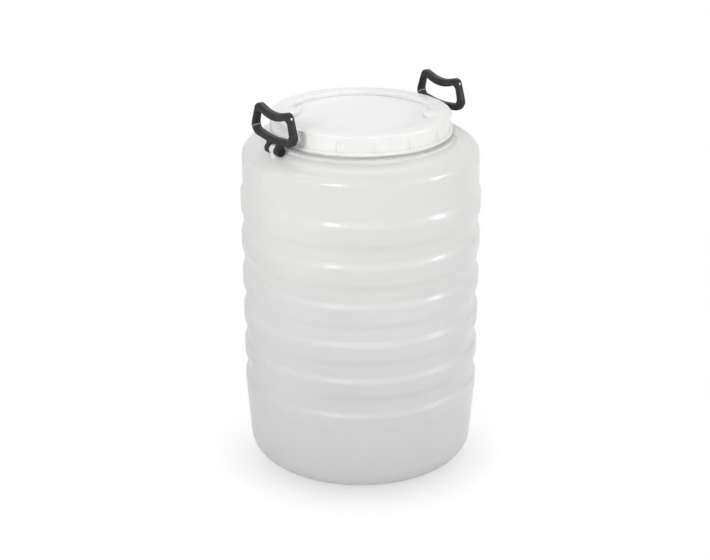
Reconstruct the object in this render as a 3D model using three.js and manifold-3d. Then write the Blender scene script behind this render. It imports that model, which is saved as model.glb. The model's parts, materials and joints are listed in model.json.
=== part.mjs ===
// Blow-moulded storage barrel with a screw closure and two swing handles.
// Millimetres, +Z up. The origin is the centre of the base, the handles lie on +X and -X.

import * as THREE from 'three';
import { mergeVertices } from 'three/addons/utils/BufferGeometryUtils.js';
import Module from 'manifold-3d';

const wasm = await Module();
wasm.setup();

// Barrel wall, its grooves counted up from the base, each bulge a bit taller than the one below
const bulgeRadius = 195;
const grooveDepth = 4;
const grooveFloor = 18;
const grooveSlope = 12;
const lowGrooveHeight = 89.7;
const lowGroovePitch = 59.3;
const pitchGrowth = 1.7;
const bulgeCount = 6;
const wall = 3;

// Barrel base, drawn in from the bulges
const baseTopInset = 1.5;
const baseInset = 6;
const baseCornerHeight = 29;
const baseCornerWidth = 11.5;
const footWidth = 10.5;
const baseRecess = 5;
const baseRecessSlope = 6;

// Shoulder, collar and neck, from the top groove up and from the bulges in
const shoulderBand = 40;
const shoulderRise = 29;
const shoulderWidth = 57;
const shoulderFlat = 3;
const collarWidth = 13;
const collarRise = 4.5;
const collarEdge = 1.2;
const neckHeight = 25.1;
const neckWall = 4.5;
const neckEdge = 1;

// Gasket and inner lid
const seatGap = 0.3;
const gasketThickness = 2;
const gasketInset = 0.5;
const lidThickness = 3;
const lidFlangeClearance = 1.5;
const panelDrop = 2.5;
const spigotWall = 3;
const spigotDepth = 10;
const spigotClearance = 1;
const lidStepClearance = 0.8;

// Screw ring
const threadSpace = 3;
const ringWall = 3;
const ringTopWidth = 29;
const ringTopThickness = 3.5;
const ringEdge = 3;
const ringFootGap = 4.5;
const rimWall = 2.5;
const lipStand = 2;
const lipHeight = 4;
const lipSlope = 1.5;
const ribPairs = 16;
const ribSpacing = 5.5;
const ribWidth = 1.8;
const ribStand = 1.2;
const ribTopGap = 6;
const ribTaper = 3;
const ribAngle = 15.9;
const tabRadius = 18;
const tabAngle = -40.35;

// Handle hinge
const hingeStandoff = 20;
const hingeSink = 1.7;
const pinRadius = 3;
const boreClearance = 0.3;
const pinHeadStand = 1.8;
const pinHeadThickness = 1.4;
const lugWall = 4.3;
const lugWidth = 12;
const lugNeckInset = 2.4;
const knuckleWall = 3.1;
const knuckleWidth = 11.2;
const knuckleGap = 0.4;
const archClearance = 3.6;

// Handle loop, its top measured up from the hinge axis and its finger hole in from the outside
const handleDepth = 13;
const handleEdge = 3;
const loopLift = 1.1;
const loopCornerHalfWidth = 62.2;
const loopCornerRise = 6.7;
const loopTopHalfWidth = 42.8;
const loopTopHeight = 69;
const loopSaddleDrop = 13.8;
const loopCornerRadius = 17;
const loopTopRadius = 11;
const loopSaddleRadius = 80;
const loopBellyRadius = 160;
const gripHeight = 13;
const sideBarWidth = 15.5;
const footBarHeight = 10;
const holeTopInset = 3;
const holeCornerRise = 10;
const holeCornerRadius = 8;
const webThickness = 8;

// Fineness of round forms, as counts
const roundSteps = 40;
const cornerSteps = 4;
const slopeSteps = 3;
const smallRoundSteps = 20;
const outlineSteps = 3;
const edgeSteps = 2;

// How far a cutter runs past what it cuts
const overrun = 5;

const grooveRadius = bulgeRadius - grooveDepth;
const baseTopRadius = bulgeRadius - baseTopInset;
const baseRadius = bulgeRadius - baseInset;
const footRadius = baseRadius - baseCornerWidth;
const shoulderStart = grooveHeight(bulgeCount) + shoulderBand;
const shoulderTop = shoulderStart + shoulderRise;
const neckRadius = bulgeRadius - shoulderWidth;
const mouthRadius = neckRadius - neckWall;
const shoulderInnerRadius = neckRadius + shoulderFlat;
const collarRadius = neckRadius + collarWidth;
const collarTop = shoulderTop + collarRise;
const neckTop = collarTop + neckHeight;
const gasketBottom = neckTop + seatGap;
const flangeBottom = gasketBottom + gasketThickness + seatGap;
const flangeTop = flangeBottom + lidThickness;
const panelTop = flangeTop - panelDrop;
const panelBottom = panelTop - lidThickness;
const ringInnerRadius = neckRadius + threadSpace;
const ringRadius = ringInnerRadius + ringWall;
const ringOpeningRadius = ringRadius - ringTopWidth;
const ringTop = flangeTop + seatGap + ringTopThickness;
const ringBottom = collarTop + ringFootGap;
const rimBottom = panelTop + seatGap;
const lidFlangeRadius = ringInnerRadius - lidFlangeClearance;
const pinHeadRadius = pinRadius + pinHeadStand;
const lugRadius = pinRadius + boreClearance + lugWall;
const lugNeckHalfWidth = lugRadius - lugNeckInset;
const knuckleRadius = pinHeadRadius + boreClearance + knuckleWall;
const knuckleInner = lugWidth / 2 + knuckleGap;
const knuckleOuter = knuckleInner + knuckleWidth;
const pivotRadius = ringRadius + lipStand + hingeStandoff;
const pivotHeight = shoulderTop - hingeSink + knuckleRadius;
const loopBottom = knuckleRadius + loopLift;
const holeBottom = loopBottom + footBarHeight;
const quarterTurn = Math.PI / 2;

const axisX = new THREE.Vector3(1, 0, 0);
const axisY = new THREE.Vector3(0, 1, 0);
const axisZ = new THREE.Vector3(0, 0, 1);

const milkyPlastic = { color: 0xe9eae8, roughness: 0.42, metalness: 0 };
const whitePlastic = { color: 0xf1f1ee, roughness: 0.4, metalness: 0 };
const panelPlastic = { color: 0xebecee, roughness: 0.45, metalness: 0 };
const gasketRubber = { color: 0x55585c, roughness: 0.8, metalness: 0 };
const blackPlastic = { color: 0x2c2c2d, roughness: 0.5, metalness: 0 };
const pinPlastic = { color: 0x1e1e1f, roughness: 0.45, metalness: 0 };

// A closed geometry as a solid that can be joined and cut
function toSolid(geometry) {
  const bare = geometry.clone();
  bare.deleteAttribute('normal');
  bare.deleteAttribute('uv');
  const welded = mergeVertices(bare);
  const triangles = [];
  for (let start = 0; start < welded.index.count; start += 3) {
    const corners = [0, 1, 2].map((step) => welded.index.getX(start + step));
    if (new Set(corners).size === corners.length) {
      triangles.push(...corners);
    }
  }
  return new wasm.Manifold(new wasm.Mesh({
    numProp: 3,
    vertProperties: welded.attributes.position.array,
    triVerts: Uint32Array.from(triangles),
  }));
}

function toGeometry(solid) {
  const mesh = solid.getMesh();
  const geometry = new THREE.BufferGeometry();
  geometry.setAttribute('position', new THREE.BufferAttribute(mesh.vertProperties, mesh.numProp));
  geometry.setIndex(new THREE.BufferAttribute(mesh.triVerts, 1));
  geometry.computeVertexNormals();
  return geometry;
}

function point(radius, height) {
  return new THREE.Vector2(radius, height);
}

// Points of a part of an ellipse, from one angle to another
function ellipsePoints(centre, halfWidth, halfHeight, startAngle, endAngle) {
  const points = [];
  for (let step = 0; step <= cornerSteps; step += 1) {
    const angle = startAngle + (endAngle - startAngle) * step / cornerSteps;
    points.push(point(
      centre.x + halfWidth * Math.cos(angle),
      centre.y + halfHeight * Math.sin(angle),
    ));
  }
  return points;
}

// A profile turned about the Z axis
function turned(profile) {
  return new THREE.LatheGeometry(profile, roundSteps).rotateX(quarterTurn);
}

// A flat outline in the plane of radius and height, made as thick as its width across
function across(outline, width) {
  const geometry = new THREE.ExtrudeGeometry(outline, {
    depth: width,
    bevelEnabled: false,
    curveSegments: smallRoundSteps / 4,
  });
  geometry.translate(0, 0, -width / 2);
  const basis = new THREE.Matrix4().makeBasis(axisX, axisZ, axisY.clone().negate());
  return geometry.applyMatrix4(basis);
}

// A round bar along Y, centred at the given place along it
function crossBar(radius, length, centreY) {
  return new THREE.CylinderGeometry(radius, radius, length, smallRoundSteps)
    .translate(0, centreY, 0);
}

function rotated(geometry, degrees) {
  return geometry.clone().rotateZ(THREE.MathUtils.degToRad(degrees));
}

function named(name, geometry, finish) {
  const mesh = new THREE.Mesh(geometry, new THREE.MeshStandardMaterial(finish));
  mesh.name = name;
  return mesh;
}

// Middle height of a groove: number 0 is the step above the base
function grooveHeight(number) {
  return lowGrooveHeight + number * lowGroovePitch + pitchGrowth * number * (number - 1) / 2;
}

// Wall points from the top of the base up to the top groove, one bulge after the other
function bulgePoints(inset, steps) {
  const points = [];
  for (let number = 0; number < bulgeCount; number += 1) {
    const lowRadius = number === 0 ? baseTopRadius : grooveRadius;
    const low = grooveHeight(number) + grooveFloor / 2;
    const high = grooveHeight(number + 1) - grooveFloor / 2;
    for (let step = 0; step <= steps; step += 1) {
      const rise = THREE.MathUtils.smoothstep(step, 0, steps);
      const radius = lowRadius + (bulgeRadius - lowRadius) * rise;
      points.push(point(radius - inset, low + grooveSlope * step / steps));
    }
    for (let step = 0; step <= steps; step += 1) {
      const fall = THREE.MathUtils.smoothstep(step, 0, steps);
      const radius = bulgeRadius - grooveDepth * fall;
      points.push(point(radius - inset, high - grooveSlope + grooveSlope * step / steps));
    }
  }
  return points;
}

function outerProfile() {
  return [
    point(0, baseRecess),
    point(footRadius - footWidth - baseRecessSlope, baseRecess),
    point(footRadius - footWidth, 0),
    ...ellipsePoints(
      point(footRadius, baseCornerHeight),
      baseCornerWidth,
      baseCornerHeight,
      -quarterTurn,
      0,
    ),
    ...bulgePoints(0, slopeSteps),
    ...ellipsePoints(
      point(shoulderInnerRadius, shoulderStart),
      grooveRadius - shoulderInnerRadius,
      shoulderTop - shoulderStart,
      0,
      Math.acos((collarRadius - shoulderInnerRadius) / (grooveRadius - shoulderInnerRadius)),
    ),
    point(collarRadius, collarTop - collarEdge),
    point(collarRadius - collarEdge, collarTop),
    point(neckRadius, collarTop),
    point(neckRadius, neckTop - neckEdge),
    point(neckRadius - neckEdge, neckTop),
    point(0, neckTop),
  ];
}

function innerProfile() {
  const recessRadius = footRadius - footWidth - baseRecessSlope;
  return [
    point(0, baseRecess + wall),
    point(recessRadius, baseRecess + wall),
    point(recessRadius + baseRecessSlope, wall),
    ...ellipsePoints(
      point(footRadius - wall, baseCornerHeight),
      baseCornerWidth,
      baseCornerHeight - wall,
      -quarterTurn,
      0,
    ),
    ...bulgePoints(wall, 1),
    ...ellipsePoints(
      point(mouthRadius, shoulderStart),
      grooveRadius - wall - mouthRadius,
      shoulderTop - wall - shoulderStart,
      0,
      quarterTurn,
    ),
    point(mouthRadius, neckTop + overrun),
    point(0, neckTop + overrun),
  ];
}

// The ear on the shoulder that carries a handle: a round head about the hinge axis on a slimmer neck,
// which leaves the handle's bottom bar room to swing down past it
function lugOutline() {
  const neckAngle = Math.acos(lugNeckHalfWidth / lugRadius);
  const foot = shoulderStart - pivotHeight;
  const outline = new THREE.Shape();
  outline.moveTo(-lugNeckHalfWidth, foot);
  outline.lineTo(lugNeckHalfWidth, foot);
  outline.absarc(0, 0, lugRadius, -neckAngle, Math.PI + neckAngle, false);
  outline.closePath();
  return outline;
}

function barrelBody() {
  const lug = across(lugOutline(), lugWidth).translate(pivotRadius, 0, pivotHeight);
  const bore = crossBar(pinRadius + boreClearance, lugWidth + overrun, 0)
    .translate(pivotRadius, 0, pivotHeight);
  let solid = toSolid(turned(outerProfile()));
  for (const degrees of [0, 180]) {
    solid = solid.add(toSolid(rotated(lug, degrees)));
  }
  solid = solid.subtract(toSolid(turned(innerProfile())));
  for (const degrees of [0, 180]) {
    solid = solid.subtract(toSolid(rotated(bore, degrees)));
  }
  return named('barrel_body', toGeometry(solid), milkyPlastic);
}

function lidGasket() {
  const outerRadius = lidFlangeRadius - gasketInset;
  const profile = [
    point(mouthRadius, gasketBottom),
    point(outerRadius, gasketBottom),
    point(outerRadius, gasketBottom + gasketThickness),
    point(mouthRadius, gasketBottom + gasketThickness),
    point(mouthRadius, gasketBottom),
  ];
  return named('lid_gasket', turned(profile), gasketRubber);
}

// The loose inner lid: a sunk panel, a flange over the neck and a spigot inside the mouth
function lidDisc() {
  const stepRadius = ringOpeningRadius + rimWall + lidStepClearance;
  const spigotRadius = mouthRadius - spigotClearance;
  const profile = [
    point(0, panelBottom),
    point(stepRadius, panelBottom),
    point(stepRadius + panelDrop, flangeBottom),
    point(spigotRadius - spigotWall, flangeBottom),
    point(spigotRadius - spigotWall, flangeBottom - spigotDepth),
    point(spigotRadius, flangeBottom - spigotDepth),
    point(spigotRadius, flangeBottom),
    point(lidFlangeRadius, flangeBottom),
    point(lidFlangeRadius, flangeTop),
    point(stepRadius, flangeTop),
    point(stepRadius, panelTop),
    point(0, panelTop),
  ];
  return named('lid_disc', turned(profile), panelPlastic);
}

function ringProfile() {
  const lipRadius = ringRadius + lipStand;
  const lipTop = ringBottom + lipHeight;
  const flatBottom = ringTop - ringTopThickness;
  return [
    point(ringInnerRadius, ringBottom),
    point(lipRadius, ringBottom),
    point(lipRadius, lipTop),
    point(ringRadius, lipTop + lipSlope),
    ...ellipsePoints(point(ringRadius - ringEdge, ringTop - ringEdge), ringEdge, ringEdge, 0, quarterTurn),
    point(ringOpeningRadius, ringTop),
    point(ringOpeningRadius, rimBottom),
    point(ringOpeningRadius + rimWall, rimBottom),
    point(ringOpeningRadius + rimWall, flatBottom),
    point(ringInnerRadius, flatBottom),
    point(ringInnerRadius, ringBottom),
  ];
}

// One upright grip rib, sunk halfway into the skirt and fading out towards the top
function ribOutline() {
  const root = ringRadius - ringWall / 2;
  const face = ringRadius + ribStand;
  const ribTop = ringTop - ribTopGap;
  const outline = new THREE.Shape();
  outline.moveTo(root, ringBottom + lipHeight / 2);
  outline.lineTo(face, ringBottom + lipHeight / 2);
  outline.lineTo(face, ribTop - ribTaper);
  outline.lineTo(root, ribTop);
  outline.closePath();
  return outline;
}

// The threaded ring that holds the lid down, with grip ribs and two inward half-round tabs
function screwRing() {
  const rib = across(ribOutline(), ribWidth);
  const tabDepth = ringTop - rimBottom;
  const tab = new THREE.CylinderGeometry(tabRadius, tabRadius, tabDepth, smallRoundSteps)
    .rotateX(quarterTurn)
    .translate(ringOpeningRadius, 0, ringTop - tabDepth / 2);
  const limitRadius = ringOpeningRadius + rimWall / 2;
  const tabLimit = new THREE.CylinderGeometry(limitRadius, limitRadius, 2 * tabDepth + overrun, roundSteps)
    .rotateX(quarterTurn)
    .translate(0, 0, ringTop);
  let solid = toSolid(turned(ringProfile()));
  for (let pair = 0; pair < ribPairs; pair += 1) {
    for (const side of [-1, 1]) {
      const turn = ribAngle + 360 * pair / ribPairs;
      const placed = rib.clone().translate(0, side * ribSpacing / 2, 0);
      solid = solid.add(toSolid(rotated(placed, turn)));
    }
  }
  for (const opposite of [0, 180]) {
    const placed = toSolid(rotated(tab, tabAngle + opposite));
    solid = solid.add(placed.intersect(toSolid(tabLimit)));
  }
  return named('screw_ring', toGeometry(solid), whitePlastic);
}

// A closed outline through corner points, each corner rounded by its own radius
function roundedOutline(corners) {
  const outline = new THREE.Shape();
  corners.forEach((corner, index) => {
    const before = corners.at(index - 1);
    const after = corners[(index + 1) % corners.length];
    const back = before.at.clone().sub(corner.at).normalize();
    const ahead = after.at.clone().sub(corner.at).normalize();
    const halfAngle = Math.acos(back.dot(ahead)) / 2;
    const centre = back.clone().add(ahead).normalize()
      .multiplyScalar(corner.radius / Math.sin(halfAngle))
      .add(corner.at);
    const reach = corner.radius / Math.tan(halfAngle);
    const first = back.multiplyScalar(reach).add(corner.at).sub(centre);
    const last = ahead.multiplyScalar(reach).add(corner.at).sub(centre);
    const clockwise = first.cross(last) < 0;
    outline.absarc(centre.x, centre.y, corner.radius, first.angle(), last.angle(), clockwise);
  });
  outline.closePath();
  return outline;
}

// The waisted loop shape shared by the outside of the handle and its finger hole
function loopOutline(size) {
  return roundedOutline([
    { at: point(0, size.bottom), radius: loopBellyRadius },
    { at: point(size.cornerHalfWidth, size.cornerHeight), radius: size.cornerRadius },
    { at: point(size.topHalfWidth, size.topHeight), radius: size.topRadius },
    { at: point(0, size.saddle), radius: loopSaddleRadius },
    { at: point(-size.topHalfWidth, size.topHeight), radius: size.topRadius },
    { at: point(-size.cornerHalfWidth, size.cornerHeight), radius: size.cornerRadius },
  ]);
}

// The loop stands in the plane across the barrel's radius, centred on the hinge axis
function handleLoop() {
  const outline = loopOutline({
    bottom: loopBottom,
    cornerHalfWidth: loopCornerHalfWidth,
    cornerHeight: loopBottom + loopCornerRise,
    cornerRadius: loopCornerRadius,
    topHalfWidth: loopTopHalfWidth,
    topHeight: loopTopHeight,
    topRadius: loopTopRadius,
    saddle: loopTopHeight - loopSaddleDrop,
  });
  outline.holes.push(loopOutline({
    bottom: holeBottom,
    cornerHalfWidth: loopCornerHalfWidth - sideBarWidth,
    cornerHeight: loopBottom + loopCornerRise + holeCornerRise,
    cornerRadius: holeCornerRadius,
    topHalfWidth: loopTopHalfWidth - holeTopInset,
    topHeight: loopTopHeight - gripHeight,
    topRadius: holeCornerRadius,
    saddle: loopTopHeight - loopSaddleDrop - gripHeight,
  }));
  const flat = handleDepth - 2 * handleEdge;
  const geometry = new THREE.ExtrudeGeometry(outline, {
    depth: flat,
    bevelThickness: handleEdge,
    bevelSize: handleEdge,
    bevelOffset: -handleEdge,
    bevelSegments: edgeSteps,
    curveSegments: outlineSteps,
  });
  geometry.translate(0, 0, -flat / 2);
  return geometry.applyMatrix4(new THREE.Matrix4().makeBasis(axisY, axisZ, axisX));
}

// A loop on two knuckles that stand astride the lug
function handleGeometry() {
  const recessDepth = pinHeadThickness + seatGap;
  const webHeight = (loopBottom + holeBottom) / 2;
  const web = new THREE.BoxGeometry(webThickness, knuckleWidth, webHeight);
  let solid = toSolid(handleLoop());
  for (const side of [-1, 1]) {
    const middle = side * (knuckleInner + knuckleOuter) / 2;
    solid = solid.add(toSolid(crossBar(knuckleRadius, knuckleWidth, middle)));
    solid = solid.add(toSolid(web.clone().translate(0, middle, webHeight / 2)));
  }
  solid = solid.subtract(toSolid(crossBar(lugRadius + archClearance, 2 * knuckleInner, 0)));
  solid = solid.subtract(toSolid(crossBar(pinRadius + boreClearance, 2 * knuckleOuter + overrun, 0)));
  for (const side of [-1, 1]) {
    const middle = side * (knuckleOuter - recessDepth + overrun / 2);
    const recess = crossBar(pinHeadRadius + boreClearance, overrun, middle);
    solid = solid.subtract(toSolid(recess));
  }
  return toGeometry(solid);
}

// The hinge pin, headed at both ends, each head sunk flush in a knuckle
function pinGeometry() {
  const headMiddle = knuckleOuter - pinHeadThickness / 2;
  let solid = toSolid(crossBar(pinRadius, 2 * headMiddle, 0));
  for (const side of [-1, 1]) {
    solid = solid.add(toSolid(crossBar(pinHeadRadius, pinHeadThickness, side * headMiddle)));
  }
  return toGeometry(solid);
}

function handleSet(sideName, degrees) {
  const hinge = new THREE.Group();
  hinge.rotation.z = THREE.MathUtils.degToRad(degrees);
  const handle = named(`${sideName}_handle`, handleGeometry(), blackPlastic);
  const pin = named(`${sideName}_hinge_pin`, pinGeometry(), pinPlastic);
  for (const piece of [handle, pin]) {
    piece.position.set(pivotRadius, 0, pivotHeight);
    hinge.add(piece);
  }
  return hinge;
}

const barrel = new THREE.Group();
barrel.add(barrelBody(), lidGasket(), lidDisc(), screwRing());
barrel.add(handleSet('right', 0), handleSet('left', 180));

export default barrel;
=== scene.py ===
# Looks of a blow-moulded storage barrel with a screw closure and two swing handles.
# Metres, +Z up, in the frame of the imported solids: the handles lie on +X and -X.

import json
from math import acos, asin, cos, pi, radians, sin, sqrt, tau

import bmesh
import bpy
from mathutils import Matrix, Vector


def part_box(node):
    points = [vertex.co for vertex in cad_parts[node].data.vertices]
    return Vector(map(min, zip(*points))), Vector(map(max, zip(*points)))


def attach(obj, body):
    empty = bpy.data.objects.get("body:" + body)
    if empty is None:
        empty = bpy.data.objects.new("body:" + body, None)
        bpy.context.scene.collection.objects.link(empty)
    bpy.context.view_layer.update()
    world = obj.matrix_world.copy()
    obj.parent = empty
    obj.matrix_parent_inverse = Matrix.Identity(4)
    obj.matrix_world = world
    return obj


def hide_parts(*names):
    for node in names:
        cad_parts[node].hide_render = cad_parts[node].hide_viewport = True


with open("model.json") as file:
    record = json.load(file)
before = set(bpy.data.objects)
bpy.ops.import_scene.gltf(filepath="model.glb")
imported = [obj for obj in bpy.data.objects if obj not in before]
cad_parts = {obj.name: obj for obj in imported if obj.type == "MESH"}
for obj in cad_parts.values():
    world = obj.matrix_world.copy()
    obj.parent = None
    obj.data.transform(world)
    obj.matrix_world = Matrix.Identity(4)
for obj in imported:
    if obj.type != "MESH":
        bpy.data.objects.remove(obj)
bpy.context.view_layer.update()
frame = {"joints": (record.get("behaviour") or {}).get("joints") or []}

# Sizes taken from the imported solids
_, barrel_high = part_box("barrel_body")
_, lid_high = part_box("lid_disc")
gasket_low, gasket_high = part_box("lid_gasket")
ring_low, ring_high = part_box("screw_ring")
pivots = {
    joint["child"]: Vector(joint["pos_m"])
    for joint in frame["joints"]
    if "handle" in joint["child"]
}

# Barrel wall, its grooves counted up from the base, each bulge a bit taller than the one below.
# A groove's reach is from its middle to where its sides are half deep, and a slope is the height
# over which a side rises or falls.
bulge_radius = barrel_high.x
groove_depth = 0.004
groove_reach = 0.015
bulge_top_slope = 0.0105
top_slope_growth = 0.00074
bulge_under_slope = 0.017
low_groove_height = 0.0897
low_groove_pitch = 0.0593
pitch_growth = 0.0017
bulge_count = 6
wall = 0.003

# Barrel base, drawn in from the bulges
base_top_inset = 0.0015
base_inset = 0.006
base_corner_height = 0.029
base_corner_width = 0.0115
foot_width = 0.0105
foot_edge = 0.0015
base_recess = 0.005
base_recess_slope = 0.006

# Shoulder, collar and neck
shoulder_band = 0.040
shoulder_rise = 0.029
shoulder_width = 0.057
shoulder_flat = 0.003
collar_width = 0.013
collar_rise = 0.0045
collar_edge = 0.0012
neck_wall = 0.0045
neck_edge = 0.001

# Threads of the neck and of the ring, their crests passing each other with a small gap. A lead is
# from the foot of the neck's thread zone, or the ring's lower edge, to where the thread starts.
neck_thread_depth = 0.0013
neck_thread_zone = 0.0251
neck_thread_lead = 0.005
ring_thread_depth = 0.0014
ring_thread_lead = 0.004
thread_pitch = 0.008
thread_turns = 1.75
thread_width = 0.0034
thread_flank = 1.6
thread_runout = 0.2
thread_row = 0.0004

# Inner lid
lid_thickness = 0.003
lid_edge = 0.0006
panel_drop = 0.0025
spigot_wall = 0.003
spigot_depth = 0.010
spigot_clearance = 0.001
lid_step_clearance = 0.0008

# Screw ring, the crest and flank of a rib shaping its rounded section
ring_wall = 0.003
ring_top_width = 0.029
ring_top_thickness = 0.0035
ring_edge = 0.003
rim_wall = 0.0025
rim_edge = 0.0008
lip_stand = 0.002
lip_height = 0.004
lip_slope = 0.0015
lip_edge = 0.0006
rib_pairs = 16
rib_spacing = 0.0055
rib_width = 0.0018
rib_stand = 0.0012
rib_crest = 1.8
rib_flank = 1.3
rib_top_gap = 0.006
rib_taper = 0.003
rib_angle = radians(15.9)
tab_radius = 0.018
tab_angle = radians(-40.35)

# Handle hinge
pin_radius = 0.003
pin_fillet = 0.0003
bore_clearance = 0.0003
pin_head_stand = 0.0018
pin_head_thickness = 0.0014
pin_head_edge = 0.0005
pin_head_back_edge = 0.0002
pin_dimple_radius = 0.0022
pin_dimple_depth = 0.0006
lug_wall = 0.0043
lug_width = 0.012
lug_neck_inset = 0.0024
lug_foot_drop = 0.0275
lug_edge = 0.0012
knuckle_wall = 0.0031
knuckle_width = 0.0112
knuckle_gap = 0.0004
knuckle_edge = 0.001
knuckle_fillet = 0.003
arch_clearance = 0.0036
seat_gap = 0.0003

# Handle loop, its top measured up from the hinge axis and its finger hole in from the outside
handle_depth = 0.013
handle_edge = 0.0036
handle_crown = 0.0002
loop_lift = 0.0011
loop_corner_half_width = 0.0622
loop_corner_rise = 0.0067
loop_top_half_width = 0.0428
loop_top_height = 0.069
loop_saddle_drop = 0.0138
loop_corner_radius = 0.017
loop_top_radius = 0.011
loop_saddle_radius = 0.080
loop_belly_radius = 0.160
grip_height = 0.013
side_bar_width = 0.0155
foot_bar_height = 0.010
hole_top_inset = 0.003
hole_corner_rise = 0.010
hole_corner_radius = 0.008
web_thickness = 0.008

# Raised bead across each upper corner of the loop: how far round the corner it lies, and how many
# steps of the outline it fades over
bead_height = 0.0004
bead_share = 0.7
bead_spread = 3

# Painted highlights on the handle: a pale glint line square to a line at a tilt and a distance from
# the hinge, and pale glint spots below the horns
glint_line_tilt = radians(27.5)
glint_line_distance = 0.0474
glint_line_start = 0.040
glint_line_width = 0.0009
glint_spot_half_width = 0.0464
glint_spot_height = 0.059
glint_spot_radius = 0.0024

# Fineness of round forms, as counts
round_steps = 256
curve_steps = 10
inner_wall_steps = 4
edge_steps = 4
bore_steps = 48
loop_corner_steps = 24
rib_rows = 12
rib_steps = 6
rib_divisions = 8
tab_steps = 40

# An inset at a sharp corner of an outline is stretched by this at most
most_stretch = 2

# Folds sharper than these, in degrees, get a sharp line
plain_fold = 35
barrel_fold = 28
ring_fold = 32

# Points this close are one point, radii this close are the same surface, and angles that agree to
# this many digits are one angle
weld = 1e-7
touch = 1e-6
angle_digits = 6

groove_radius = bulge_radius - groove_depth
base_top_radius = bulge_radius - base_top_inset
base_radius = bulge_radius - base_inset
foot_radius = base_radius - base_corner_width
neck_top = barrel_high.z
neck_radius = bulge_radius - shoulder_width
mouth_radius = neck_radius - neck_wall
shoulder_inner_radius = neck_radius + shoulder_flat
collar_radius = neck_radius + collar_width
ring_bottom = ring_low.z
ring_top = ring_high.z
ring_radius = ring_high.x - lip_stand
ring_inner_radius = ring_radius - ring_wall
ring_opening_radius = ring_radius - ring_top_width
rib_top = ring_top - rib_top_gap
flange_radius = lid_high.x
flange_top = lid_high.z
flange_bottom = flange_top - lid_thickness
panel_top = flange_top - panel_drop
panel_bottom = panel_top - lid_thickness
rim_bottom = panel_top + seat_gap
pin_head_radius = pin_radius + pin_head_stand
lug_radius = pin_radius + bore_clearance + lug_wall
lug_neck_half_width = lug_radius - lug_neck_inset
knuckle_radius = pin_head_radius + bore_clearance + knuckle_wall
knuckle_inner = lug_width / 2 + knuckle_gap
knuckle_outer = knuckle_inner + knuckle_width
loop_bottom = knuckle_radius + loop_lift
hole_bottom = loop_bottom + foot_bar_height

# Camera, as solved from the photograph, with its lens and sensor in millimetres
camera_place = Vector((-1.3526, -1.7691, 1.22265))
camera_heading = radians(52.845)
camera_dip = radians(22.78)
camera_lens = 73.52
camera_sensor = 36

# Lamps, headings and heights in degrees as seen from the point they aim at. A level is the
# irradiance that the lamp gives the barrel's middle, in units of full white.
lamp_aim = Vector((0, 0, 0.4))
lamps = {
    "key": {
        "heading": 206, "height": 26, "distance": 2.3,
        "width": 0.72, "tall": 0.54, "level": 0.43,
    },
    "side": {
        "heading": 307.6, "height": 18, "distance": 2.2,
        "width": 0.7, "tall": 0.6, "level": 0.43,
    },
    "top": {
        "heading": 52, "height": 58, "distance": 2.2,
        "width": 1.6, "tall": 1.6, "level": 0.36,
    },
    "fill": {
        "heading": 175, "height": 38, "distance": 2.4,
        "width": 2, "tall": 2, "level": 0.185,
    },
}
world_level = 0.195
white = (1, 1, 1, 1)

# Floor: the plain colour that lights the object, and what the camera sees, which is its own glow,
# its shadows, and the shade close to where something stands on it, until it turns to plain white
floor_half_size = 7
floor_colour = 0.86
floor_albedo = 0.1
floor_glow = 0.93
floor_white_start = 0.4
floor_white_end = 0.9
contact_reach = 0.13
contact_dark = 0.32
contact_heading = radians(232.8)
contact_back_share = 0.12

# Colours, the neck's painted light coming in between two depths below its top
# Painted shade: the barrel wall darker towards its base
body_base_shade_tone = (0.692, 0.694, 0.699)
body_high_tone = (0.790, 0.790, 0.777)
body_cloud_tone = (0.82, 0.82, 0.806)
body_streak_tone = (0.70, 0.71, 0.70)
# Painted light on the neck, against the shade under the ring's lip
neck_light_tone = (0.90, 0.90, 0.886)
neck_light_start = 0.028
neck_light_end = 0.016
ring_low_tone = (0.935, 0.935, 0.92)
ring_high_tone = (0.96, 0.96, 0.948)
# Painted shade in the ring's hollows and on the wall of its opening
ring_hollow_shade_tone = (0.62, 0.62, 0.60)
ring_opening_shade_tone = (0.80, 0.80, 0.79)
panel_low_tone = (0.91, 0.913, 0.924)
panel_high_tone = (0.94, 0.942, 0.95)
panel_smudge_tone = (0.85, 0.855, 0.865)
seal_dark_tone = (0.085, 0.09, 0.095)
seal_pale_tone = (0.125, 0.13, 0.14)
handle_dark_tone = (0.023, 0.023, 0.024)
handle_pale_tone = (0.037, 0.037, 0.0385)
pin_dark_tone = (0.014, 0.014, 0.015)
pin_pale_tone = (0.024, 0.024, 0.026)
scuff_tone = (0.10, 0.10, 0.105)
# Painted glints on the handles
glint_line_tone = (0.38, 0.38, 0.38)
glint_spot_tone = (0.85, 0.85, 0.85)


# Middle height of a groove: number 0 is the step above the base
def groove_height(number):
    return low_groove_height + number * low_groove_pitch + pitch_growth * number * (number - 1) / 2


def smooth(share):
    share = min(max(share, 0), 1)
    return share * share * (3 - 2 * share)


# Points of a part of an ellipse, from one angle to another
def ellipse(centre, half_width, half_height, start, end, steps):
    return [
        (
            centre[0] + half_width * cos(start + (end - start) * step / steps),
            centre[1] + half_height * sin(start + (end - start) * step / steps),
        )
        for step in range(steps + 1)
    ]


# The arc that rounds a corner between two others: its centre, its first spoke and its turn
def corner_arc(before, at, after, rounding):
    back = (Vector(before[:2]) - at).normalized()
    ahead = (Vector(after[:2]) - at).normalized()
    half = back.angle(ahead) / 2
    centre = at + (back + ahead).normalized() * rounding / sin(half)
    first = at + back * rounding * cos(half) / sin(half) - centre
    last = at + ahead * rounding * cos(half) / sin(half) - centre
    return centre, first, -first.angle_signed(last)


def turned_spoke(first, angle):
    spoke = first.copy()
    spoke.rotate(Matrix.Rotation(angle, 2))
    return spoke


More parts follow.
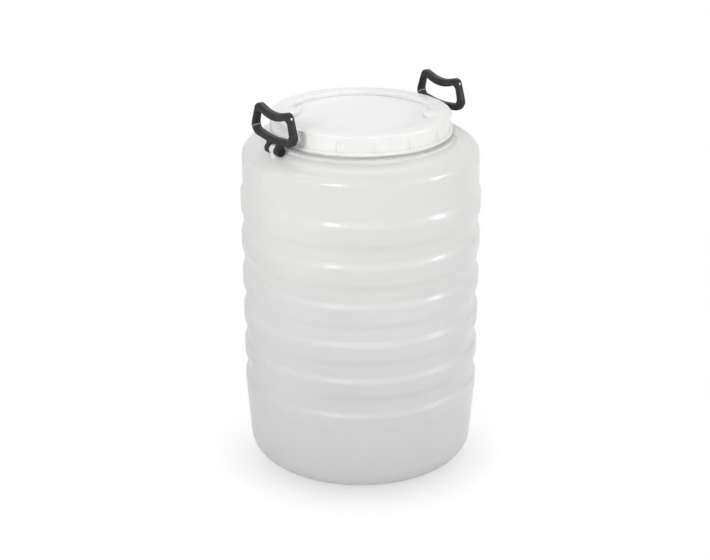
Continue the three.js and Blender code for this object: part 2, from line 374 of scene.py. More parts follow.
# Points along corners (x, y, rounding), each corner swapped for a small arc
def rounded(corners):
    points = []
    for index, (x, y, rounding) in enumerate(corners):
        if rounding == 0 or index in (0, len(corners) - 1):
            points.append((x, y))
            continue
        centre, first, turn = corner_arc(
            corners[index - 1], Vector((x, y)), corners[index + 1], rounding,
        )
        for step in range(edge_steps + 1):
            points.append(tuple(centre + turned_spoke(first, turn * step / edge_steps)))
    return points


def even_angles(count):
    return [tau * step / count for step in range(count)]


def new_piece(name, vertices, faces, fold=plain_fold):
    mesh = bpy.data.meshes.new(name)
    mesh.from_pydata(vertices, [], faces)
    piece = bpy.data.objects.new(name, mesh)
    bpy.context.scene.collection.objects.link(piece)
    tidy_mesh(piece, fold)
    return piece


# Normals outward, no doubled points, smooth shading with sharp lines where the surface folds
def tidy_mesh(piece, fold):
    work = bmesh.new()
    work.from_mesh(piece.data)
    bmesh.ops.remove_doubles(work, verts=work.verts, dist=weld)
    bmesh.ops.recalc_face_normals(work, faces=work.faces)
    for face in work.faces:
        face.smooth = True
    work.to_mesh(piece.data)
    work.free()
    piece.data.set_sharp_from_angle(angle=radians(fold))


# Faces between columns of points, where each column and the row of columns close on themselves
def closed_faces(columns, rows):
    faces = []
    for column in range(columns):
        here = column * rows
        there = (column + 1) % columns * rows
        for row in range(rows):
            after = (row + 1) % rows
            faces.append((here + row, there + row, there + after, here + after))
    return faces


# A closed profile turned about the Z axis, each point moved by form(radius, height, angle)
def turned(name, profile, angles, form=None, fold=plain_fold):
    vertices = []
    for angle in angles:
        for radius, height in profile:
            if form:
                radius, height = form(radius, height, angle)
            vertices.append((radius * cos(angle), radius * sin(angle), height))
    piece = new_piece(name, vertices, closed_faces(len(angles), len(profile)), fold)
    work = bmesh.new()
    work.from_mesh(piece.data)
    bmesh.ops.dissolve_degenerate(work, edges=work.edges, dist=weld)
    work.to_mesh(piece.data)
    work.free()
    return piece


# Joins or cuts with other pieces, which are used up
def boolean(piece, others, operation, fold=plain_fold):
    for other in others:
        modifier = piece.modifiers.new("solid", "BOOLEAN")
        modifier.operation = operation
        modifier.solver = "EXACT"
        modifier.object = other
    graph = bpy.context.evaluated_depsgraph_get()
    result = bpy.data.meshes.new_from_object(piece.evaluated_get(graph))
    piece.modifiers.clear()
    piece.data = result
    for other in others:
        bpy.data.objects.remove(other)
    tidy_mesh(piece, fold)
    return piece


# For each point of an outline, the way and stretch by which an inset moves it
def inset_pulls(points):
    pulls = []
    for index, at in enumerate(points):
        back = (at - points[index - 1]).normalized()
        ahead = (points[(index + 1) % len(points)] - at).normalized()
        across = (back + ahead).normalized().orthogonal()
        stretch = 1 / max(across.dot(back.orthogonal()), 1 / most_stretch)
        pulls.append(across * stretch)
    return pulls


# A rounded plate from a flat outline, standing across the Y axis with its middle at a place there
def plate(name, places, thickness, middle, edge):
    points = [Vector(place) for place in places]
    pulls = inset_pulls(points)
    rows = []
    for side in (-1, 1):
        for step in range(edge_steps + 1):
            turn = pi / 2 * (step if side < 0 else edge_steps - step) / edge_steps
            rows.append((edge * (1 - sin(turn)), side * (thickness / 2 - edge + edge * cos(turn))))
    vertices = []
    for inset, height in rows:
        for at, pull in zip(points, pulls):
            place = at + pull * inset
            vertices.append((place.x, middle + height, place.y))
    count = len(points)
    faces = [tuple(range(count)), tuple(range((len(rows) - 1) * count, len(rows) * count))]
    for row in range(len(rows) - 1):
        for index in range(count):
            after = (index + 1) % count
            low = row * count
            high = low + count
            faces.append((low + index, low + after, high + after, high + index))
    return new_piece(name, vertices, faces)


# A profile of (radius, place along Y) turned about the Y axis
def bar(name, profile):
    piece = turned(name, profile, even_angles(bore_steps))
    piece.data.transform(Matrix.Rotation(-pi / 2, 4, "X"))
    return piece


def cutter(radius, start, end):
    return bar("cutter", [(0, start), (radius, start), (radius, end), (0, end)])


# The bulges' side of the wall's profile, from the lowest to the highest, in by an inset
def wall_points(inset, steps):
    points = []
    for number in range(bulge_count):
        low_radius = base_top_radius if number == 0 else groove_radius
        low = groove_height(number) + groove_reach - bulge_under_slope / 2
        top_slope = bulge_top_slope + top_slope_growth * number
        high = groove_height(number + 1) - groove_reach - top_slope / 2
        for step in range(steps + 1):
            rise = smooth(step / steps)
            radius = low_radius + (bulge_radius - low_radius) * rise
            points.append((radius - inset, low + bulge_under_slope * step / steps))
        for step in range(steps + 1):
            fall = smooth(step / steps)
            radius = bulge_radius - groove_depth * fall
            points.append((radius - inset, high + top_slope * step / steps))
    return points


# The wall's outside, from the middle of the base up to the neck's thread
def barrel_outside(shoulder_start, shoulder_top, collar_top):
    recess_radius = foot_radius - foot_width - base_recess_slope
    shoulder_depth = groove_radius - shoulder_inner_radius
    shoulder_end = acos((collar_radius - shoulder_inner_radius) / shoulder_depth)
    return [
        (0, base_recess),
        (recess_radius - foot_edge, base_recess),
        (recess_radius + foot_edge, base_recess - foot_edge),
        (recess_radius + base_recess_slope - foot_edge, foot_edge / 2),
        (recess_radius + base_recess_slope + foot_edge, 0),
        *ellipse(
            (foot_radius, base_corner_height), base_corner_width, base_corner_height,
            -pi / 2, 0, 2 * curve_steps,
        ),
        *wall_points(0, curve_steps),
        *ellipse(
            (shoulder_inner_radius, shoulder_start), shoulder_depth, shoulder_rise,
            0, shoulder_end, 2 * curve_steps,
        ),
        *rounded([
            (collar_radius, shoulder_top, 0),
            (collar_radius, collar_top, collar_edge),
            (neck_radius + 2 * collar_edge, collar_top, 0),
        ])[1:],
    ]


# The neck's outside in rows fine enough for its thread, and its rounded rim
def neck_points(collar_top):
    rows = int((neck_top - collar_top) / thread_row)
    outer_edge = (neck_radius - neck_edge, neck_top - neck_edge)
    inner_edge = (mouth_radius + neck_edge, neck_top - neck_edge)
    straight = [
        (neck_radius, collar_top + (neck_top - neck_edge - collar_top) * row / rows)
        for row in range(rows + 1)
    ]
    return [
        *straight,
        *ellipse(outer_edge, neck_edge, neck_edge, 0, pi / 2, edge_steps),
        *ellipse(inner_edge, neck_edge, neck_edge, pi / 2, pi, edge_steps),
    ]


# The wall's inside, from the mouth down to the middle of the base
def barrel_inside(shoulder_start):
    recess_radius = foot_radius - foot_width - base_recess_slope
    return [
        *ellipse(
            (mouth_radius, shoulder_start), groove_radius - wall - mouth_radius,
            shoulder_rise - wall, pi / 2, 0, curve_steps,
        ),
        *reversed(wall_points(wall, inner_wall_steps)),
        *ellipse(
            (foot_radius - wall, base_corner_height), base_corner_width,
            base_corner_height - wall, 0, -pi / 2, curve_steps,
        ),
        (recess_radius + base_recess_slope, wall),
        (recess_radius, base_recess + wall),
        (0, base_recess + wall),
    ]


def barrel_profile():
    shoulder_start = groove_height(bulge_count) + shoulder_band
    shoulder_top = shoulder_start + shoulder_rise
    collar_top = shoulder_top + collar_rise
    return [
        *barrel_outside(shoulder_start, shoulder_top, collar_top),
        *neck_points(collar_top),
        *barrel_inside(shoulder_start),
    ]


# How far a thread's crest stands at a height and an angle, from 0 to 1, fading out at both ends
def thread(height, angle, start):
    best = 0
    for turn in range(int(thread_turns) + 2):
        travelled = angle / tau + turn
        if travelled > thread_turns:
            continue
        lead_in = smooth(travelled / thread_runout)
        lead_out = smooth((thread_turns - travelled) / thread_runout)
        offset = abs(height - start - thread_pitch * travelled) / (thread_width / 2)
        best = max(best, lead_in * lead_out * smooth(thread_flank * (1 - offset)))
    return best


def ear_outline():
    neck_angle = acos(lug_neck_half_width / lug_radius)
    arc = ellipse((0, 0), lug_radius, lug_radius, -neck_angle, pi + neck_angle, bore_steps)
    return [(-lug_neck_half_width, -lug_foot_drop), (lug_neck_half_width, -lug_foot_drop), *arc]


# Moves a piece built about the hinge axis to its hinge on one side
def to_hinge(piece, body):
    pivot = pivots[body]
    turn = 0 if pivot.x > 0 else pi
    piece.data.transform(Matrix.Translation(pivot) @ Matrix.Rotation(turn, 4, "Z"))
    return piece


def make_barrel():
    zone_bottom = neck_top - neck_thread_zone

    def form(radius, height, angle):
        if abs(radius - neck_radius) < touch and height > zone_bottom:
            radius += neck_thread_depth * thread(height, angle, zone_bottom + neck_thread_lead)
        return radius, height

    barrel = turned("barrel_shell", barrel_profile(), even_angles(round_steps), form, barrel_fold)
    ears = []
    for body in pivots:
        ear = plate("ear", ear_outline(), lug_width, 0, lug_edge)
        bore = cutter(pin_radius + bore_clearance, -lug_width, lug_width)
        ears.append(to_hinge(boolean(ear, [bore], "DIFFERENCE"), body))
    barrel = boolean(barrel, ears, "UNION", barrel_fold)
    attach(barrel, "barrel")
    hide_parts("barrel_body")
    return barrel


def make_gasket():
    middle = (gasket_low.z + gasket_high.z) / 2
    edge = (gasket_high.z - gasket_low.z) / 2
    outer = gasket_high.x
    profile = [
        *ellipse((outer - edge, middle), edge, edge, -pi / 2, pi / 2, curve_steps),
        *ellipse((mouth_radius + edge, middle), edge, edge, pi / 2, 3 * pi / 2, curve_steps),
    ]
    gasket = turned("lid_seal", profile, even_angles(round_steps))
    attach(gasket, "lid")
    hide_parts("lid_gasket")
    return gasket


def make_lid():
    step_radius = ring_opening_radius + rim_wall + lid_step_clearance
    spigot_radius = mouth_radius - spigot_clearance
    profile = rounded([
        (0, panel_bottom, 0),
        (step_radius, panel_bottom, lid_edge),
        (step_radius + panel_drop, flange_bottom, lid_edge),
        (spigot_radius - spigot_wall, flange_bottom, lid_edge),
        (spigot_radius - spigot_wall, flange_bottom - spigot_depth, lid_edge),
        (spigot_radius, flange_bottom - spigot_depth, lid_edge),
        (spigot_radius, flange_bottom, lid_edge),
        (flange_radius, flange_bottom, lid_edge),
        (flange_radius, flange_top, lid_edge),
        (step_radius, flange_top, lid_edge),
        (step_radius, panel_top, lid_edge),
        (step_radius / 2, panel_top, 0),
        (0, panel_top, 0),
    ])
    lid = turned("inner_lid", profile, even_angles(round_steps))
    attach(lid, "lid")
    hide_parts("lid_disc")
    return lid


# The skirt's outside from above the lip, in rows for the ribs' taper
def skirt_points(lip_top):
    return [
        (ring_radius, lip_top + lip_slope + (rib_top - lip_top - lip_slope) * row / rib_rows)
        for row in range(rib_rows + 1)
    ]


# The skirt's inside from its upper end, in rows fine enough for its thread
def skirt_inside(flat_bottom):
    rows = int((flat_bottom - ring_bottom) / thread_row)
    return [
        (ring_inner_radius, flat_bottom + (ring_bottom - flat_bottom) * row / rows)
        for row in range(1, rows)
    ]


def ring_profile():
    lip_radius = ring_radius + lip_stand
    lip_top = ring_bottom + lip_height
    flat_bottom = ring_top - ring_top_thickness
    return [
        *rounded([
            (ring_inner_radius + lip_edge, ring_bottom, 0),
            (lip_radius, ring_bottom, lip_edge),
            (lip_radius, lip_top, lip_edge),
            (ring_radius, lip_top + lip_slope, 0),
        ])[:-1],
        *skirt_points(lip_top),
        *ellipse(
            (ring_radius - ring_edge, ring_top - ring_edge), ring_edge, ring_edge,
            0, pi / 2, curve_steps,
        ),
        *rounded([
            (ring_radius - 2 * ring_edge, ring_top, 0),
            (ring_opening_radius, ring_top, rim_edge),
            (ring_opening_radius, rim_bottom, rim_edge / 2),
            (ring_opening_radius + rim_wall, rim_bottom, 0),
        ]),
        (ring_opening_radius + rim_wall, flat_bottom),
        (ring_inner_radius, flat_bottom),
        *skirt_inside(flat_bottom),
    ]


# How far a rib stands out at an angle, from 0 to 1
def rib_share(angle):
    pitch = tau / rib_pairs
    place = ((angle - rib_angle + pitch / 2) % pitch - pitch / 2) * ring_radius
    offset = abs(abs(place) - rib_spacing / 2) / (rib_width / 2)
    return smooth(rib_crest - offset * rib_flank)


# How far inward the opening's edge moves at an angle to form a half-round tab
def tab_reach(angle):
    reach = 0
    for opposite in (0, pi):
        offset = abs((angle - tab_angle - opposite + pi) % tau - pi)
        side = ring_opening_radius * sin(offset)
        if offset < pi / 2 and side < tab_radius:
            edge = ring_opening_radius * cos(offset) - sqrt(tab_radius ** 2 - side ** 2)
            reach = max(reach, ring_opening_radius - edge)
    return reach


# Angles at which the ring is cut: even ones, with finer ones across each rib and each tab's side
def ring_angles():
    angles = set(even_angles(round_steps))
    for pair in range(rib_pairs):
        for side in (-1, 1):
            middle = rib_angle + tau * pair / rib_pairs + side * rib_spacing / 2 / ring_radius
            for step in range(-rib_steps, rib_steps + 1):
                offset = step * rib_width / rib_divisions / ring_radius
                angles.add((middle + offset) % tau)
    limit = asin(tab_radius / ring_opening_radius)
    for opposite in (0, pi):
        for step in range(-tab_steps, tab_steps + 1):
            share = sin(pi / 2 * step / tab_steps)
            angles.add((tab_angle + opposite + limit * share) % tau)
    return sorted(set(round(angle, angle_digits) for angle in angles))


def make_ring():
    def form(radius, height, angle):
        if abs(radius - ring_radius) < touch and height < rib_top:
            radius += rib_stand * rib_share(angle) * smooth((rib_top - height) / rib_taper)
        elif abs(radius - ring_inner_radius) < touch:
            radius -= ring_thread_depth * thread(height, angle, ring_bottom + ring_thread_lead)
        elif radius < ring_opening_radius + rim_edge + touch:
            radius -= tab_reach(angle)
        return radius, height

    ring = turned("closure_ring", ring_profile(), ring_angles(), form, ring_fold)
    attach(ring, "ring")
    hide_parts("screw_ring")
    return ring


# Points and outward directions of an outline through corners (x, y, rounding), corner by corner
def outline(corners):
    rows = []
    for index, (x, y, rounding) in enumerate(corners):
        after = corners[(index + 1) % len(corners)]
        centre, first, turn = corner_arc(corners[index - 1], Vector((x, y)), after, rounding)
        for step in range(loop_corner_steps + 1):
            spoke = turned_spoke(first, turn * step / loop_corner_steps)
            outward = spoke.normalized() * (1 if turn > 0 else -1)
            rows.append((centre + spoke, outward))
    return rows


def loop_corners(bottom, corner, corner_rounding, top, top_rounding, saddle):
    return [
        (0, bottom, loop_belly_radius),
        (corner[0], corner[1], corner_rounding),
        (top[0], top[1], top_rounding),
        (0, saddle, loop_saddle_radius),
        (-top[0], top[1], top_rounding),
        (-corner[0], corner[1], corner_rounding),
    ]


# The outlines of the loop's outside and of its finger hole
def loop_outlines():
    outer = loop_corners(
        loop_bottom,
        (loop_corner_half_width, loop_bottom + loop_corner_rise),
        loop_corner_radius,
        (loop_top_half_width, loop_top_height),
        loop_top_radius,
        loop_top_height - loop_saddle_drop,
    )
    hole_corner_height = loop_bottom + loop_corner_rise + hole_corner_rise
    hole = loop_corners(
        hole_bottom,
        (loop_corner_half_width - side_bar_width, hole_corner_height),
        hole_corner_radius,
        (loop_top_half_width - hole_top_inset, loop_top_height - grip_height),
        hole_corner_radius,
        loop_top_height - loop_saddle_drop - grip_height,
    )
    return outline(outer), outline(hole)


# The cross-section of the handle's bar: (which side, how far in from it, place across the depth)
def bar_section():
    half = handle_depth / 2
    flat = half - handle_edge
    section = []
    for which, front in (("outer", 1), ("hole", 1), ("hole", -1), ("outer", -1)):
        opening = (which == "outer") == (front > 0)
        for step in range(edge_steps + 1):
            turn = pi / 2 * (step if opening else edge_steps - step) / edge_steps
            depth = front * (flat + handle_edge * sin(turn))
            section.append((which, handle_edge * (1 - cos(turn)), depth))
        if opening:
            section.append(("middle", 0, front * (half + handle_crown)))
    return section


# How far the bead stands at a step of the loop's outline
def bead_stand(index):
    turn_steps = loop_corner_steps + 1
    beads = [
        turn_steps + bead_share * loop_corner_steps,
        5 * turn_steps + (1 - bead_share) * loop_corner_steps,
    ]
    nearest = min(abs(index - bead) for bead in beads)
    return bead_height * smooth(1 - nearest / bead_spread)


def make_loop():
    outer, hole = loop_outlines()
    section = bar_section()
    vertices = []
    for index, ((outer_at, outer_out), (hole_at, hole_out)) in enumerate(zip(outer, hole)):
        bead = bead_stand(index)
        for which, inset, depth in section:
            lift = bead * (1 if depth > 0 else -1)
            if which == "outer":
                place = outer_at - outer_out * (inset - bead)
            elif which == "hole":
                place = hole_at + hole_out * (inset - bead)
            else:
                place = (outer_at + hole_at) / 2
            vertices.append((depth + lift, place.x, place.y))
    return new_piece("loop", vertices, closed_faces(len(outer), len(section)))


# A knuckle and the web that carries the loop on it, as one outline in the plane of width and height
def knuckle_outline():
    half = web_thickness / 2
    top = (loop_bottom + hole_bottom) / 2
    reach = knuckle_radius + knuckle_fillet
    fillet_height = sqrt(reach ** 2 - (half + knuckle_fillet) ** 2)
    meet = asin(fillet_height / reach)
    centre = (-half - knuckle_fillet, fillet_height)
    fillet = ellipse(centre, knuckle_fillet, knuckle_fillet, 0, -meet, edge_steps)
    other = [(-x, y) for x, y in reversed(fillet)]
    around = ellipse((0, 0), knuckle_radius, knuckle_radius, pi - meet, tau + meet, bore_steps)
    return [(half, top), (-half, top), *fillet[:-1], *around, *other[1:]]


def make_handle(body):
    loop = make_loop()
    knuckles = []
    cutters = [
        cutter(lug_radius + arch_clearance, -knuckle_inner, knuckle_inner),
        cutter(pin_radius + bore_clearance, -2 * knuckle_outer, 2 * knuckle_outer),
    ]
    recess = knuckle_outer - pin_head_thickness - seat_gap
    for side in (-1, 1):
        middle = side * (knuckle_inner + knuckle_outer) / 2
        knuckles.append(plate("knuckle", knuckle_outline(), knuckle_width, middle, knuckle_edge))
        ends = sorted((side * recess, side * 2 * knuckle_outer))
        cutters.append(cutter(pin_head_radius + bore_clearance, *ends))
    handle = boolean(loop, knuckles, "UNION")
    handle = boolean(handle, cutters, "DIFFERENCE")
    handle.name = body + "_moulding"
    to_hinge(handle, body)
    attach(handle, body)
    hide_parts(body)
    return handle


def make_pin(body):
    inside = knuckle_outer - pin_head_thickness
    half = rounded([
        (pin_radius, 0, 0),
        (pin_radius, inside, pin_fillet),
        (pin_head_radius, inside, pin_head_back_edge),
        (pin_head_radius, knuckle_outer, pin_head_edge),
        (pin_dimple_radius, knuckle_outer, pin_fillet),
        (pin_dimple_radius / 2, knuckle_outer - pin_dimple_depth, pin_fillet),
        (0, knuckle_outer - pin_dimple_depth, 0),
    ])
    other = [(radius, -place) for radius, place in reversed(half)]
    pin = bar(body + "_pin_turning", [*other[:-1], *half[1:]])
    to_hinge(pin, body)
    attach(pin, body)
    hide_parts(body.replace("handle", "hinge_pin"))
    return pin


# A node tree with short ways to add nodes and join them
class Finish:
    def __init__(self, name):
        self.material = bpy.data.materials.new(name)
        self.material.use_nodes = True
        self.tree = self.material.node_tree
        self.tree.nodes.clear()
        self.shader = self.add("ShaderNodeBsdfPrincipled")
        self.output = self.add("ShaderNodeOutputMaterial")
        self.join(self.shader.outputs["BSDF"], self.output.inputs["Surface"])
        self.place = self.add("ShaderNodeTexCoord").outputs["Object"]

    def add(self, kind, **values):
        node = self.tree.nodes.new(kind)
        for key, value in values.items():
            if hasattr(node, key):
                setattr(node, key, value)
            else:
                node.inputs[key].default_value = value
        return node

    def join(self, source, target):
        self.tree.links.new(source, target)

    def set(self, socket, value):
        self.shader.inputs[socket].default_value = value

    # Across, along and up, as the three outputs of one node
    def axes(self):
        node = self.add("ShaderNodeSeparateXYZ")
        self.join(self.place, node.inputs["Vector"])
        return node.outputs

    # Noise over the object's own coordinates, stretched where a stretch is given
    def noise(self, scale, detail=3, roughness=0.5, stretch=None):
        texture = self.add("ShaderNodeTexNoise", Scale=scale, Detail=detail, Roughness=roughness)
        place = self.place
        if stretch:
            mapping = self.add("ShaderNodeMapping", Scale=stretch)
            self.join(place, mapping.inputs["Vector"])
            place = mapping.outputs["Vector"]
        self.join(place, texture.inputs["Vector"])
        return texture.outputs["Fac"]

    # A value spread smoothly from one range to another
    def spread(self, value, low, high, to_low=0, to_high=1):
        node = self.add("ShaderNodeMapRange", interpolation_type="SMOOTHSTEP")
        self.join(value, node.inputs["Value"])
        ends = {"From Min": low, "From Max": high, "To Min": to_low, "To Max": to_high}
        for key, number in ends.items():
            node.inputs[key].default_value = number
        return node.outputs["Result"]

    def math(self, operation, first, second=0):
        node = self.add("ShaderNodeMath", operation=operation)
        for socket, value in zip(node.inputs, (first, second)):
            if isinstance(value, (int, float)):
                socket.default_value = value
            else:
                self.join(value, socket)
        return node.outputs["Value"]

    def product(self, first, second):
        return self.math("MULTIPLY", first, second)

    def vector(self, operation, first, second=(0, 0, 0)):
        node = self.add("ShaderNodeVectorMath", operation=operation)
        self.join(first, node.inputs[0])
        node.inputs[1].default_value = second
        return next(socket for socket in node.outputs if socket.enabled)

    def mix(self, share, first, second):
        node = self.add("ShaderNodeMix", data_type="RGBA")
        sockets = [socket for socket in node.inputs if socket.type == "RGBA"]
        self.join(share, node.inputs["Factor"])
        for socket, value in zip(sockets, (first, second)):
            if isinstance(value, tuple):
                socket.default_value = (*value, 1)
            else:
                self.join(value, socket)
        return next(socket for socket in node.outputs if socket.type == "RGBA")

    # A tone with another colour over it where a mask is 1, by a share at most
    def tint(self, tone, mask, colour, share=1):
        if share != 1:
            mask = self.product(mask, share)
        return self.mix(mask, tone, colour)

    def bump(self, height, distance, below=None):
        node = self.add("ShaderNodeBump", Distance=distance)
        self.join(height, node.inputs["Height"])
        if below:
            self.join(below, node.inputs["Normal"])
        return node.outputs["Normal"]

    def colour(self, source):
        self.join(source, self.shader.inputs["Base Color"])

    def roughness(self, source):
        self.join(source, self.shader.inputs["Roughness"])

    def normal(self, source):
        self.join(source, self.shader.inputs["Normal"])

    def subsurface(self, weight, scale, radius):
        self.set("Subsurface Weight", weight)
        self.set("Subsurface Radius", radius)
        self.set("Subsurface Scale", scale)


# Milky blow-moulded wall: painted shade darker towards the base, cloudy thickness, faint level
# streaks, painted light on the neck below the ring's lip, rubbed spots and a mould seam
def milky_plastic():
    finish = Finish("milky_plastic")
    _, along, up = finish.axes()
    # Painted shade: the wall darker towards its base
    tone = finish.mix(finish.spread(up, low=0.08, high=0.53), body_base_shade_tone, body_high_tone)
    cloud = finish.spread(finish.noise(scale=7, detail=4, roughness=0.55), low=0.35, high=0.7)
    tone = finish.tint(tone, cloud, body_cloud_tone, share=0.2)
    level = finish.noise(scale=1, detail=4, roughness=0.6, stretch=(7, 7, 160))
    streak = finish.spread(level, low=0.56, high=0.72)
    tone = finish.tint(tone, streak, body_streak_tone, share=0.1)
    # Painted light: the neck paler, against the shade under the ring's lip
    neck_light = finish.spread(up, low=neck_top - neck_light_start, high=neck_top - neck_light_end)
    finish.colour(finish.tint(tone, neck_light, neck_light_tone))
    rub = finish.noise(scale=38, detail=5, roughness=0.65)
    finish.roughness(finish.spread(rub, low=0.3, high=0.75, to_low=0.32, to_high=0.42))
    from_seam = finish.math("ABSOLUTE", along)
    seam = finish.spread(from_seam, low=0.0004, high=0.0011, to_low=1, to_high=0)
    wave = finish.bump(finish.noise(scale=16, detail=2, stretch=(1, 1, 2.2)), distance=0.0009)
    grain = finish.bump(finish.noise(scale=520, detail=2), distance=0.00006, below=wave)
    finish.normal(finish.bump(seam, distance=0.00025, below=grain))
    finish.shader.subsurface_method = "BURLEY"
    finish.subsurface(weight=0.3, scale=0.15, radius=(1.0, 1.0, 0.95))
    finish.set("Specular IOR Level", 0.04)
    finish.set("Coat Weight", 0.47)
    finish.set("Coat Roughness", 0.17)
    return finish.material


# 1 on the upright wall of the ring's opening, where painted shade darkens it
def opening_wall_shade(finish):
    across, along, up = finish.axes()
    squares = finish.math("ADD", finish.product(across, across), finish.product(along, along))
    inside = finish.spread(
        finish.math("SQRT", squares), low=ring_opening_radius, high=ring_opening_radius + rim_edge,
        to_low=1, to_high=0,
    )
    below = finish.spread(
        up, low=ring_top - 2 * rim_edge, high=ring_top - rim_edge / 4, to_low=1, to_high=0,
    )
    return finish.product(inside, below)


# Warm white closure, with painted shade greying its hollows and the wall of its opening
def white_plastic():
    finish = Finish("white_plastic")
    cloud = finish.spread(finish.noise(scale=24), low=0.3, high=0.7)
    tone = finish.mix(cloud, ring_low_tone, ring_high_tone)
    pointiness = finish.add("ShaderNodeNewGeometry").outputs["Pointiness"]
    # Painted shade in the hollows, such as at the feet of the ribs
    hollow_shade = finish.spread(pointiness, low=0.44, high=0.49, to_low=1, to_high=0)
    tone = finish.tint(tone, hollow_shade, ring_hollow_shade_tone, share=0.6)
    # Painted shade on the upright wall of the opening
    finish.colour(finish.tint(tone, opening_wall_shade(finish), ring_opening_shade_tone))
    rub = finish.noise(scale=90, detail=5, roughness=0.7)
    finish.roughness(finish.spread(rub, low=0.35, high=0.75, to_low=0.3, to_high=0.44))
    wave = finish.bump(finish.noise(scale=45, detail=2), distance=0.0004)
    finish.normal(finish.bump(finish.noise(scale=900, detail=2), distance=0.00003, below=wave))
    finish.subsurface(weight=0.06, scale=0.003, radius=(1.0, 1.0, 0.9))
    finish.set("IOR", 1.5)
    return finish.material


# Cool white inner lid with faint smudges
def panel_plastic():
    finish = Finish("panel_plastic")
    cloud = finish.spread(finish.noise(scale=16, detail=4, roughness=0.6), low=0.3, high=0.72)
    tone = finish.mix(cloud, panel_low_tone, panel_high_tone)
    dirt = finish.noise(scale=9, detail=5, roughness=0.7, stretch=(1, 1.8, 1))
    smudge = finish.spread(dirt, low=0.58, high=0.75)
    finish.colour(finish.tint(tone, smudge, panel_smudge_tone, share=0.4))
    rub = finish.noise(scale=60, detail=5, roughness=0.7)
    finish.roughness(finish.spread(rub, low=0.3, high=0.75, to_low=0.42, to_high=0.56))
    finish.normal(finish.bump(finish.noise(scale=1100, detail=2), distance=0.00004))
    finish.subsurface(weight=0.08, scale=0.003, radius=(1.0, 1.0, 1.0))
    return finish.material


def seal_rubber():
    finish = Finish("seal_rubber")
    cloud = finish.spread(finish.noise(scale=60, detail=4), low=0.3, high=0.7)
    finish.colour(finish.mix(cloud, seal_dark_tone, seal_pale_tone))
    rub = finish.noise(scale=200, detail=4)
    finish.roughness(finish.spread(rub, low=0.3, high=0.7, to_low=0.68, to_high=0.85))
    finish.normal(finish.bump(finish.noise(scale=700), distance=0.00004))
    return finish.material


# 1 on a painted glint, a pale line across one lower corner of each loop
def painted_glint_line(finish):
    _, along, up = finish.axes()
    rise = finish.product(finish.math("SUBTRACT", up, pivots["left_handle"].z), cos(glint_line_tilt))
    reach = finish.product(along, sin(glint_line_tilt))
    offset = finish.math("SUBTRACT", finish.math("ADD", rise, reach), glint_line_distance)
    line = finish.spread(
        finish.math("ABSOLUTE", offset), low=glint_line_width / 4, high=glint_line_width,
        to_low=1, to_high=0,
    )
    outside = finish.spread(along, low=glint_line_start, high=glint_line_start + glint_line_width)
    return finish.product(line, outside)


# 1 on small painted glints at the outer sides of the loops, below their horns
def painted_glint_spots(finish):
    hinge = pivots["right_handle"]
    glint_centre = (hinge.x, glint_spot_half_width, hinge.z + glint_spot_height)
    distance = finish.vector("DISTANCE", finish.vector("ABSOLUTE", finish.place), glint_centre)
    return finish.spread(distance, low=glint_spot_radius / 2, high=glint_spot_radius, to_low=1, to_high=0)


# Black moulded plastic with a fine grain, paler where it is rubbed, with painted glints on the
# loops
def black_plastic(name, dark, pale, grain):
    finish = Finish(name)
    cloud = finish.spread(finish.noise(scale=70, detail=4, roughness=0.6), low=0.35, high=0.7)
    tone = finish.mix(cloud, dark, pale)
    scuff = finish.spread(finish.noise(scale=160, detail=5, roughness=0.7), low=0.62, high=0.78)
    tone = finish.tint(tone, scuff, scuff_tone, share=0.4)
    # Painted glint: a pale line across one lower corner of each loop
    tone = finish.tint(tone, painted_glint_line(finish), glint_line_tone)
    # Painted glints: pale spots below the horns
    finish.colour(finish.tint(tone, painted_glint_spots(finish), glint_spot_tone))
    rub = finish.noise(scale=120, detail=5, roughness=0.7)
    finish.roughness(finish.spread(rub, low=0.3, high=0.75, to_low=0.42, to_high=0.56))
    finish.normal(finish.bump(finish.noise(scale=grain, detail=2), distance=0.00005))
    finish.set("Specular IOR Level", 0.16)
    return finish.material


def assign(piece, material):
    piece.data.materials.clear()
    piece.data.materials.append(material)


def make_camera():
    camera = bpy.data.cameras.new("camera")
    camera.lens = camera_lens
    camera.sensor_width = camera_sensor
    holder = bpy.data.objects.new("camera", camera)
    holder.location = camera_place
    holder.rotation_euler = (pi / 2 - camera_dip, 0, camera_heading - pi / 2)
    bpy.context.scene.collection.objects.link(holder)
    bpy.context.scene.camera = holder


def make_lamp(name, heading, height, distance, width, tall, level):
    data = bpy.data.lights.new(name, "AREA")
    data.shape = "ELLIPSE"
    data.size = width
    data.size_y = tall
    data.energy = level * pi ** 2 * distance ** 2
    lamp = bpy.data.objects.new(name, data)
    flat = distance * cos(radians(height))
    toward = Vector((
        flat * cos(radians(heading)),
        flat * sin(radians(heading)),
        distance * sin(radians(height)),
    ))
    lamp.location = lamp_aim + toward
    lamp.rotation_euler = toward.to_track_quat("Z", "Y").to_euler()
    bpy.context.scene.collection.objects.link(lamp)


# 1 for the rays that show the background: straight, mirrored or seen through
def shows_background(tree):
    path = tree.nodes.new("ShaderNodeLightPath")
    shown = path.outputs["Is Camera Ray"]
    for kind in ("Is Glossy Ray", "Is Transmission Ray"):
        either = tree.nodes.new("ShaderNodeMath")
        either.operation = "MAXIMUM"
        tree.links.new(shown, either.inputs[0])
        tree.links.new(path.outputs[kind], either.inputs[1])
        shown = either.outputs["Value"]
    return shown


def make_world():
    world = bpy.data.worlds.new("studio")
    world.use_nodes = True
    tree = world.node_tree
    tree.nodes.clear()
    mix = tree.nodes.new("ShaderNodeMixShader")
    tree.links.new(shows_background(tree), mix.inputs["Fac"])
    for target, strength in zip(mix.inputs[1:], (world_level, 1)):
        background = tree.nodes.new("ShaderNodeBackground")
        background.inputs["Color"].default_value = white
        background.inputs["Strength"].default_value = strength
        tree.links.new(background.outputs["Background"], target)
    output = tree.nodes.new("ShaderNodeOutputWorld")
    tree.links.new(mix.outputs["Shader"], output.inputs["Surface"])
    bpy.context.scene.world = world


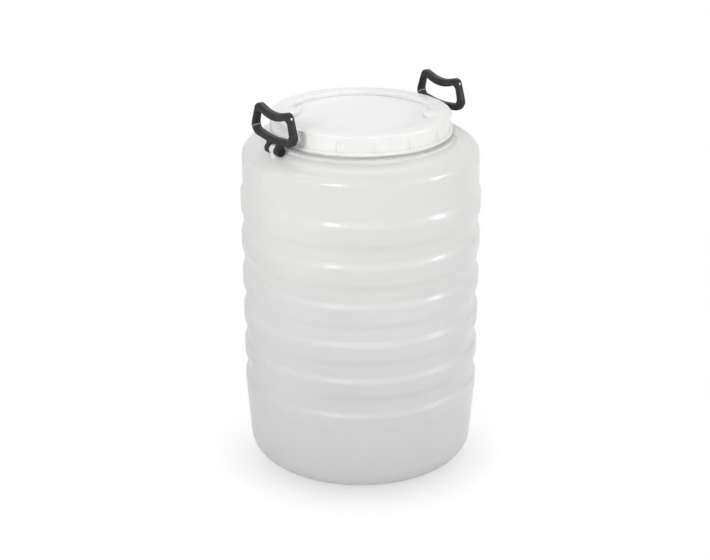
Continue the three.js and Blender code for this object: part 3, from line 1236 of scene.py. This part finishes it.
# The share of light left on the floor close to what stands on it, darkest to one side
def contact_shade(finish):
    contact = finish.add("ShaderNodeAmbientOcclusion", Distance=contact_reach)
    dark = finish.spread(
        contact.outputs["AO"], low=0.35, high=0.98, to_low=contact_dark, to_high=0,
    )
    toward = (cos(contact_heading), sin(contact_heading), 0)
    facing = finish.vector("DOT_PRODUCT", finish.vector("NORMALIZE", finish.place), toward)
    side = finish.spread(facing, low=-0.35, high=1.1, to_low=contact_back_share, to_high=1)
    return finish.math("SUBTRACT", 1, finish.product(dark, side))


# Two shaders mixed by a share
def mix_shaders(finish, share, first, second):
    mix = finish.add("ShaderNodeMixShader")
    finish.join(share, mix.inputs["Fac"])
    finish.join(first, mix.inputs[1])
    finish.join(second, mix.inputs[2])
    return mix.outputs["Shader"]


# Pale floor: its shadow close to the object stays, and it turns to plain white away from it
def floor_material():
    finish = Finish("floor")
    finish.tree.nodes.remove(finish.shader)
    shade = contact_shade(finish)
    pale = finish.add("ShaderNodeBsdfDiffuse")
    finish.join(finish.product(shade, floor_albedo), pale.inputs["Color"])
    glow = finish.add("ShaderNodeEmission", Strength=floor_glow)
    finish.join(shade, glow.inputs["Color"])
    near = finish.add("ShaderNodeAddShader")
    finish.join(pale.outputs["BSDF"], near.inputs[0])
    finish.join(glow.outputs["Emission"], near.inputs[1])
    far = finish.add("ShaderNodeEmission", Strength=1)
    distance = finish.vector("LENGTH", finish.place)
    away = finish.spread(distance, low=floor_white_start, high=floor_white_end)
    shown = mix_shaders(finish, away, near.outputs["Shader"], far.outputs["Emission"])
    plain = finish.add("ShaderNodeBsdfDiffuse", Color=(floor_colour, floor_colour, floor_colour, 1))
    seen = shows_background(finish.tree)
    both = mix_shaders(finish, seen, plain.outputs["BSDF"], shown)
    finish.join(both, finish.output.inputs["Surface"])
    return finish.material


def make_floor():
    half = floor_half_size
    corners = [(-half, -half, 0), (half, -half, 0), (half, half, 0), (-half, half, 0)]
    floor = new_piece("floor", corners, [(0, 1, 2, 3)])
    assign(floor, floor_material())


make_camera()
make_world()
make_floor()
for lamp_name, lamp in lamps.items():
    make_lamp(lamp_name, **lamp)

assign(make_barrel(), milky_plastic())
assign(make_gasket(), seal_rubber())
assign(make_lid(), panel_plastic())
assign(make_ring(), white_plastic())
handle_finish = black_plastic("handle_plastic", handle_dark_tone, handle_pale_tone, grain=1100)
pin_finish = black_plastic("pin_plastic", pin_dark_tone, pin_pale_tone, grain=1500)
for body in pivots:
    assign(make_handle(body), handle_finish)
    assign(make_pin(body), pin_finish)

bpy.context.scene.view_settings.view_transform = "Standard"
